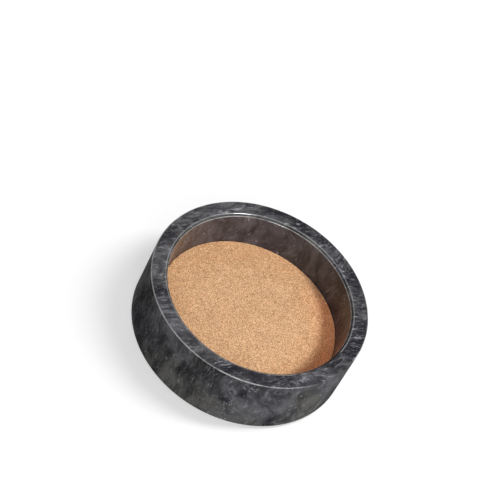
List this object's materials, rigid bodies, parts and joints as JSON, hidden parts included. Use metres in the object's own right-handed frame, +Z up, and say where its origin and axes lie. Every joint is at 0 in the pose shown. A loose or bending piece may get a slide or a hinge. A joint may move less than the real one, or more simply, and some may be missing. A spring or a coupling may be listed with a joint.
{
  "type": "wine bottle coaster",
  "caption": "Round turned stone cup with a flat rim, a straight recess lined with a cork disc to stand a wine bottle in, and stick-on anti-slip pads under its base.",
  "frame": {"origin": "centre of the plane that the feet stand on, on the coaster's axis", "axes": "+Z up along the axis of the cup, out of the recess; +X towards the right foot, +Y towards the back foot"},
  "size_m": [0.127, 0.127, 0.04],
  "materials": {
    "stone": "polished",
    "cork": "matte",
    "foot_rubber": "matte",
    "adhesive": "satin"
  },
  "bodies": {
    "root": {"stone_body": "stone", "cork_liner": "cork", "liner_adhesive": "adhesive", "foot_pad_right": "foot_rubber", "foot_pad_back": "foot_rubber", "foot_pad_left": "foot_rubber", "foot_pad_front": "foot_rubber", "foot_adhesive_right": "adhesive", "foot_adhesive_back": "adhesive", "foot_adhesive_left": "adhesive", "foot_adhesive_front": "adhesive"}
  },
  "joints": []
}
